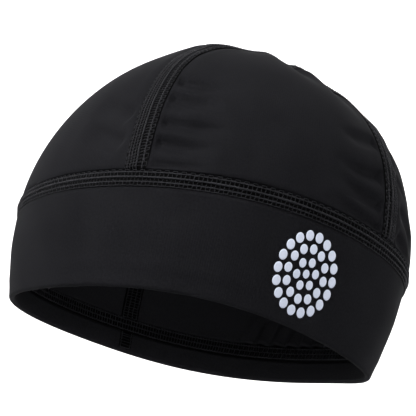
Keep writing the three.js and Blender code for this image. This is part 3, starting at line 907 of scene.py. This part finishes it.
def make_panel(name, first, first_side, second, second_side, corner, flat, materials, settings):
    """A crown panel between two seams, with its edges drawn in under the stitches."""
    rise_foot = BAND_SEAM_TOP + SEAM_EDGE
    lap = arc_at_height(np.array([CROWN_FOOT, rise_foot, rise_foot + CROWN_RISE]))
    radii = np.concatenate([
        np.linspace(lap[0], lap[1], LAP_ROWS)[:-1],
        np.linspace(lap[1], lap[2], RISE_ROWS)[:-1],
        np.linspace(lap[2], corner, int((lap[2] - corner) / CLOTH_STEP)),
    ])
    centre = circle_centre(radii)
    start = first.edge(first_side * SEAM_WIDTH / 2, radii) - centre
    end = second.edge(second_side * SEAM_WIDTH / 2, radii) - centre
    start_angle = np.arctan2(start[:, 0], start[:, 1])
    span = (np.arctan2(end[:, 0], end[:, 1]) - start_angle) % (2 * math.pi)
    # In the last row the two edges have just crossed, so its span wraps to nearly a full turn. That makes
    # the columns finer than the step asks for, and puts the last point under the seams, past the corner.
    part = np.linspace(0, 1, int(float(np.max(span)) * MEAN_RADIUS / CLOTH_STEP) + 1)
    turn = span[:, None] * part
    place = layout_place(start_angle[:, None] + turn, radii[:, None]) + centre[:, None, :]
    place[-1] = place[-1].mean(axis=0)
    stretch = layout_stretch(place)
    height = nominal_height(place)
    offset = crown_level(height)
    free = np.clip((height - BAND_SEAM_TOP - ROLL_FADE["start"]) / ROLL_FADE["length"], 0, 1)
    drag = smooth_step((height - BAND_SEAM_TOP - DRAG_FADE["start"]) / DRAG_FADE["length"])
    for away in (turn, span[:, None] - turn):
        distance = away * radii[:, None] / stretch
        from_roll = (distance - SEAM_ROLL["middle"]) / SEAM_ROLL["width"]
        offset = offset - SEAM_DIP["depth"] * np.exp(-((distance / SEAM_DIP["width"]) ** 2)) * free
        offset = offset + SEAM_ROLL["height"] * np.exp(-(from_roll**2)) * free
        drag = drag * smooth_step(distance / DRAG_FADE["beside"])
    angle = np.degrees(np.arctan2(place[..., 0], place[..., 1]))
    offset = offset + drag_lift(angle, height) * drag
    offset = offset - gather_depth(angle, height)
    panel = lay_cloth(name, placed(place, offset), place, settings.cloth * TO_MM, *materials)
    declare(panel, [name])
    return panel


def gather_depth(angle, height):
    """Upright gathers over the hem seam, drawn in from the crown's cloth."""
    span = GATHERS["to_angle"] - GATHERS["from_angle"]
    part = (angle - GATHERS["from_angle"]) / span
    # They fade in over the first eighth of their width and out over the last.
    inside = np.clip(part * 8, 0, 1) * np.clip((1 - part) * 8, 0, 1)
    fade = np.clip((GATHERS["top"] - height) / (GATHERS["top"] - CROWN_FOOT), 0, 1) ** 0.8
    wave = (1 - np.cos(2 * math.pi * GATHERS["count"] * part + 0.6 * np.sin(height / 4))) / 2
    return GATHERS["depth"] * inside * fade * wave


def seam_strip(name, seam, start, end, half, level_out, level_in, material):
    """The cloth under a seam's threads: a flat strip, a little crowned, thicker than one cloth."""
    along = np.linspace(start, end, int((end - start) / BED_STEP) + 1)
    across = np.linspace(half, -half, BED_COLUMNS)
    grid = np.meshgrid(along, across, indexing="ij")
    place = seam.place(*grid)
    crown = BED_CROWN * (1 - (across / half) ** 2)
    points = placed(place, level_out(nominal_height(place)) + crown)
    thick = float(level_out(FREE_HEIGHT) - level_in(FREE_HEIGHT))
    if seam_turns_over(points):
        points = points[:, ::-1]
    return lay_cloth(name + "_bed", points, np.stack(grid, axis=-1), thick, material)


def seam_turns_over(points):
    """Whether a strip's faces would point at the head."""
    middle = len(points) // 2
    upwards = points[middle + 1, 0] - points[middle, 0]
    sideways = points[middle, 1] - points[middle, 0]
    outwards = points[middle, 0] - CAP_MIDDLE
    return float(np.dot(np.cross(sideways, upwards), outwards)) < 0


def make_seam(name, seam, start, end, half, levels, outer, inner, stitch, scene, closed=False,
              outer_start=None):
    """A whole seam: its bed, and the threads on its outside and on the head's side."""
    level_out, level_in = levels
    strands = []
    sides = ((outer, level_out, 1, outer_start or start), (inner, level_in, -1, start))
    for rows, base, side, first in sides:
        for row in rows:
            points = thread_points(seam, row, stitch, base, side, first, end, closed)
            strands.append((points, row["radius"], closed))
    # The bed is near black as painted shade: the shadow under the threads and in the needle holes.
    painted_shade_bed_material = material_of(scene, "pressed_jersey_under_stitches")
    bed = seam_strip(name, seam, start, end, half, level_out, level_in, painted_shade_bed_material)
    thread_material = material_of(scene, "textured_polyester_thread_black")
    threads = stitch_threads(name + "_threads", strands, thread_material)
    piece = join([bed, threads], name)
    declare(piece, [name])
    return piece


def make_print(settings, material):
    """A round transfer of plain dots in rings, pressed on the band."""
    radius = settings.print_size * TO_MM / 2
    deselect_all()
    dots = []
    for ring, step in [(ring, step) for ring in range(PRINT["rings"]) for step in range(6 * ring or 1)]:
        turn = 2 * math.pi * step / (6 * ring or 1) + ring * PRINT_TWIST
        reach = radius * PRINT["reach"] * ring / (PRINT["rings"] - 1)
        centre = reach * np.array([math.cos(turn), math.sin(turn)])
        size = radius * PRINT["dot"] + PRINT["growth"] * ring
        bpy.ops.mesh.primitive_circle_add(
            vertices=DOT_CORNERS, radius=size, fill_type="NGON", location=(*centre, 0)
        )
        dot = bpy.context.object
        bpy.ops.object.mode_set(mode="EDIT")
        bpy.ops.mesh.select_all(action="SELECT")
        bpy.ops.mesh.inset(thickness=size * DOT_INSET)
        bpy.ops.object.mode_set(mode="OBJECT")
        bpy.ops.object.transform_apply(location=True, rotation=True, scale=True)
        dots.append(dot)
    dots = join(dots, "band_print")
    flat = np.empty(len(dots.data.vertices) * 3)
    dots.data.vertices.foreach_get("co", flat)
    flat = flat.reshape(-1, 3)
    arc = arc_at_height(PRINT["height"]) - flat[:, 1]
    angle = math.radians(PRINT["angle"]) + flat[:, 0] / real_radius(arc)
    place = layout_place(angle, arc)
    points = placed(place, band_slack(angle, nominal_height(place)) + FILM_LIFT)
    dots.data.vertices.foreach_set("co", points.ravel())
    dots.data.update()
    solid = dots.modifiers.new("film", "SOLIDIFY")
    solid.thickness = FILM * MM
    solid.offset = -1
    apply_modifiers(dots)
    bpy.ops.object.shade_smooth()
    dots.data.materials.clear()
    dots.data.materials.append(material)
    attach(dots, "root")
    return dots


# The studio.


def make_studio(material):
    """A seamless paper bowl: a floor that turns up into a wall all round."""
    radius, corner, steps = BOWL["radius"], BOWL["corner"], BOWL["steps"]
    deselect_all()
    bpy.ops.mesh.primitive_circle_add(
        vertices=BOWL["sides"], radius=radius - corner, fill_type="NGON", location=(0, 0, FLOOR_LEVEL)
    )
    bowl = bpy.context.object
    bowl.name = "backdrop"
    bpy.ops.object.mode_set(mode="EDIT")
    bpy.ops.mesh.select_all(action="SELECT")
    bpy.ops.mesh.inset(thickness=BOWL["inset"])
    bpy.ops.mesh.select_all(action="DESELECT")
    bpy.ops.object.mode_set(mode="OBJECT")
    for edge in bowl.data.edges:
        ends = [bowl.data.vertices[i].co.to_2d().length for i in edge.vertices]
        edge.select = min(ends) > radius - corner - 0.01
    bpy.ops.object.mode_set(mode="EDIT")
    bpy.ops.mesh.select_mode(type="EDGE")
    for step in range(1, steps + 1):
        before, turn = math.pi / 2 * (step - 1) / steps, math.pi / 2 * step / steps
        reach_before = radius - corner + corner * math.sin(before)
        reach = radius - corner + corner * math.sin(turn)
        rise = corner * (math.cos(before) - math.cos(turn))
        bpy.ops.mesh.extrude_region_move(TRANSFORM_OT_translate={"value": (0, 0, rise)})
        share = reach / reach_before
        bpy.ops.transform.resize(value=(share, share, 1), center_override=(0, 0, 0))
    bpy.ops.mesh.extrude_region_move(TRANSFORM_OT_translate={"value": (0, 0, BOWL["wall"])})
    bpy.ops.object.mode_set(mode="OBJECT")
    bpy.ops.object.transform_apply(location=True, rotation=True, scale=True)
    bpy.ops.object.shade_smooth()
    bowl.data.materials.append(material)
    return bowl


def add_lights():
    """Soft round lights about the cap, one on the wall behind it, and even white air."""
    for row in LIGHTS:
        deselect_all()
        bpy.ops.object.light_add(type="AREA", location=row["place"])
        light = bpy.context.object
        light.name = row["name"]
        light.data.shape = "DISK"
        light.data.size = row["size"]
        light.data.energy = row["power"]
        aim = Vector(row["aim"]) - Vector(row["place"])
        light.rotation_euler = aim.to_track_quat("-Z", "Y").to_euler()
    world = bpy.context.scene.world or bpy.data.worlds.new("studio_air")
    bpy.context.scene.world = world
    world.use_nodes = True
    background = world.node_tree.nodes["Background"]
    background.inputs["Color"].default_value = linear("#ffffff")
    background.inputs["Strength"].default_value = WORLD_STRENGTH
    bpy.context.scene.view_settings.view_transform = "Standard"


def add_camera():
    azimuth, elevation = math.radians(CAMERA["azimuth"]), math.radians(CAMERA["elevation"])
    back = Vector((
        math.sin(azimuth) * math.cos(elevation),
        -math.cos(azimuth) * math.cos(elevation),
        math.sin(elevation),
    ))
    deselect_all()
    bpy.ops.object.camera_add(location=CAMERA_AIM + back * CAMERA["distance"])
    camera = bpy.context.object
    camera.name = "photo_camera"
    camera.data.sensor_width = SENSOR_WIDTH
    camera.data.lens = CAMERA["focal_pixels"] / PHOTO_PIXELS * SENSOR_WIDTH
    facing = (-back).to_track_quat("-Z", "Y")
    # The picture turns clockwise when the camera turns the other way about its own axis.
    roll = math.radians(CAMERA["roll"])
    camera.rotation_mode = "QUATERNION"
    camera.rotation_quaternion = facing @ Quaternion((0, 0, 1), roll)
    camera.data.shift_x = -CAMERA_SHIFT_PIXELS[0] / PHOTO_PIXELS
    camera.data.shift_y = CAMERA_SHIFT_PIXELS[1] / PHOTO_PIXELS
    bpy.context.scene.camera = camera
    return camera


# The add-on.


class CapSizes(bpy.types.PropertyGroup):
    """Sizes of the cap's cloth, stitches and print."""

    cloth: bpy.props.FloatProperty(
        name="Cloth", description="Thickness of the jersey", default=CLOTH * MM, min=0.0005, max=0.002,
        precision=4, unit="LENGTH",
    )
    crown_stitch: bpy.props.FloatProperty(
        name="Crown stitch", description="Length of one stitch of the crown's seams", default=0.00142,
        min=0.001, max=0.004, precision=5, unit="LENGTH",
    )
    band_stitch: bpy.props.FloatProperty(
        name="Band stitch", description="Length of one stitch of the band's seam", default=0.00175,
        min=0.001, max=0.005, precision=5, unit="LENGTH",
    )
    print_size: bpy.props.FloatProperty(
        name="Print", description="Diameter of the round print on the band", default=0.031,
        min=0.01, max=0.034, precision=4, unit="LENGTH",
    )


def colour(name, description, hex_colour):
    """A property that holds a colour of the cap."""
    return bpy.props.FloatVectorProperty(
        name=name, description=description, default=linear(hex_colour), size=4, min=0, max=1,
        subtype="COLOR",
    )


class CapColours(bpy.types.PropertyGroup):
    """Colours of the cap."""

    face: colour("Jersey", "Lighter tone of the jersey", "#171719")
    deep: colour("Jersey, deep", "Darker tone of the jersey", "#0c0c0e")
    # The wrong side's own greyer tone. The band also paints it on its turned-in part as painted light.
    loops_and_facing_light: colour("Loops", "Wrong side of the jersey", "#1e1e20")
    sheen: colour("Sheen", "Tint of the jersey's sheen", "#b9bac4")
    # Painted shade: the near black between the stitches stands for the shadow under the threads and in the
    # needle holes.
    hole_painted_shade: colour("Needle holes", "Cloth between stitches", "#020202")
    hole_edge_painted_shade: colour("Hole edges", "Round the needle holes", "#070708")
    thread: colour("Thread", "Lighter tone of the thread", "#1d1d20")
    thread_deep: colour("Thread, deep", "Darker tone of the thread", "#111113")
    print: colour("Print", "Lighter tone of the print", "#b6bccb")
    print_low: colour("Print, low", "Darker tone of the print", "#a8aebd")


def flat_level(level):
    """A level of the cloth that is the same at every height."""
    return lambda height: np.full(np.shape(height), level)


def crown_bed_outer(height):
    """Outside of a crown seam's bed: with the panels' cloth, and a little proud where that has come out."""
    free = np.clip((height - BAND_SEAM_TOP - SEAM_EDGE) / CROWN_RISE, 0, 1)
    return crown_level(height) + BED_PROUD * free


def crown_bed_inner(height):
    return crown_level(height) - CLOTH - CROWN_BED_INNER


def cloth_materials(scene):
    """The jersey's face and its wrong side. The band also uses the wrong side as painted light on its
    turned-in part.
    """
    face = material_of(scene, "circular_knit_jersey_black")
    return face, material_of(scene, "circular_knit_jersey_wrong_side")


class CAP_OT_studio(bpy.types.Operator):
    """Adds the paper bowl, the lights and the camera."""

    bl_idname = "cap.studio"
    bl_label = "Studio"

    def execute(self, context):
        make_studio(material_of(context.scene, "seamless_paper_white"))
        add_lights()
        add_camera()
        return {"FINISHED"}


class CAP_OT_band(bpy.types.Operator):
    """Lays the band's cloth, folded under at the rim."""

    bl_idname = "cap.band"
    bl_label = "Band"

    def execute(self, context):
        make_band(context.scene.cap_sizes, *cloth_materials(context.scene))
        return {"FINISHED"}


class CAP_OT_crown_panels(bpy.types.Operator):
    """Lays the three panels of the crown."""

    bl_idname = "cap.crown_panels"
    bl_label = "Crown panels"

    def execute(self, context):
        sizes = context.scene.cap_sizes
        materials = cloth_materials(context.scene)
        front_corner = SEAM_WIDTH / 2
        back_corner = math.sqrt(2) * front_corner
        panels = (
            ("crown_front_panel", RIGHT_SEAM, -1, LEFT_SEAM, -1, front_corner, (0.105, 0.135)),
            ("crown_left_panel", LEFT_SEAM, 1, BACK_SEAM, 1, back_corner, (0.175, 0.135)),
            ("crown_right_panel", BACK_SEAM, -1, RIGHT_SEAM, 1, back_corner, (0.175, 0.135)),
        )
        for panel in panels:
            make_panel(*panel, materials, sizes)
        return {"FINISHED"}


class CAP_OT_crown_seams(bpy.types.Operator):
    """Sews the three flatlock seams of the crown."""

    bl_idname = "cap.crown_seams"
    bl_label = "Crown seams"

    def execute(self, context):
        stitch = context.scene.cap_sizes.crown_stitch * TO_MM
        seams = (
            ("crown_seam_front_right", RIGHT_SEAM),
            ("crown_seam_front_left", LEFT_SEAM),
            ("crown_seam_back", BACK_SEAM),
        )
        levels = (crown_bed_outer, crown_bed_inner)
        half = SEAM_WIDTH / 2 + BED_LAP
        # Outside, the threads start just above the band's seam.
        visible = float(arc_at_height(BAND_SEAM_TOP + 0.2))
        for name, seam in seams:
            make_seam(name, seam, seam.along_at_radius(FOOT_ARC), seam.length, half, levels, CROWN_THREADS,
                      INNER_CROWN_THREADS, stitch, context.scene,
                      outer_start=seam.along_at_radius(visible))
        return {"FINISHED"}


class CAP_OT_band_seams(bpy.types.Operator):
    """Sews the ring over the band, the ring over the turned-in part, and the band's closing seam."""

    bl_idname = "cap.band_seams"
    bl_label = "Band seams"

    def execute(self, context):
        scene = context.scene
        crown_stitch = scene.cap_sizes.crown_stitch * TO_MM
        band_stitch = scene.cap_sizes.band_stitch * TO_MM
        levels = flat_level(BED_PROUD), flat_level(-CLOTH)
        make_seam("band_seam", BAND_SEAM, 0, BAND_SEAM.length, BAND_SEAM_WIDTH / 2 - RING_EDGE, levels,
                  BAND_THREADS, [], band_stitch, scene, closed=True)
        levels = flat_level(BEHIND_BAND), flat_level(BEHIND_BAND - CLOTH - HEM_BED_INNER)
        make_seam("hem_seam", HEM_SEAM, 0, HEM_SEAM.length, HEM_SEAM_HEIGHT / 2 - RING_EDGE, levels,
                  [], HEM_THREADS, crown_stitch, scene, closed=True)
        levels = tuple(flat_level(FACING_LEVEL - CLOSING_BED[side]) for side in ("outer", "inner"))
        make_seam("band_back_seam", BAND_CLOSING, 0, BAND_CLOSING.length, BACK_SEAM_WIDTH / 2, levels,
                  [], BACK_SEAM_THREADS, crown_stitch, scene)
        return {"FINISHED"}


class CAP_OT_print(bpy.types.Operator):
    """Presses the round print of dots on the band."""

    bl_idname = "cap.print"
    bl_label = "Print"

    def execute(self, context):
        film = material_of(context.scene, "heat_transfer_film_lavender_grey")
        make_print(context.scene.cap_sizes, film)
        return {"FINISHED"}


class CAP_PT_sidebar(bpy.types.Panel):
    """Lists the cap's sizes, colours and steps."""

    bl_label = "Skull cap"
    bl_space_type = "VIEW_3D"
    bl_region_type = "UI"
    bl_category = "Skull cap"

    def draw(self, context):
        for group in (context.scene.cap_sizes, context.scene.cap_colours):
            for name in group.__annotations__:
                self.layout.prop(group, name)
        for operator in OPERATORS:
            self.layout.operator(operator.bl_idname)


OPERATORS = (
    CAP_OT_studio,
    CAP_OT_band,
    CAP_OT_crown_panels,
    CAP_OT_crown_seams,
    CAP_OT_band_seams,
    CAP_OT_print,
)
CLASSES = (CapSizes, CapColours, *OPERATORS, CAP_PT_sidebar)


def register():
    for cls in CLASSES:
        bpy.utils.register_class(cls)
    bpy.types.Scene.cap_sizes = bpy.props.PointerProperty(type=CapSizes)
    bpy.types.Scene.cap_colours = bpy.props.PointerProperty(type=CapColours)


def unregister():
    del bpy.types.Scene.cap_colours
    del bpy.types.Scene.cap_sizes
    for cls in reversed(CLASSES):
        bpy.utils.unregister_class(cls)


def main():
    register()
    bpy.ops.cap.studio()
    bpy.ops.cap.band()
    bpy.ops.cap.crown_panels()
    bpy.ops.cap.crown_seams()
    bpy.ops.cap.band_seams()
    bpy.ops.cap.print()


if __name__ == "__main__":
    main()
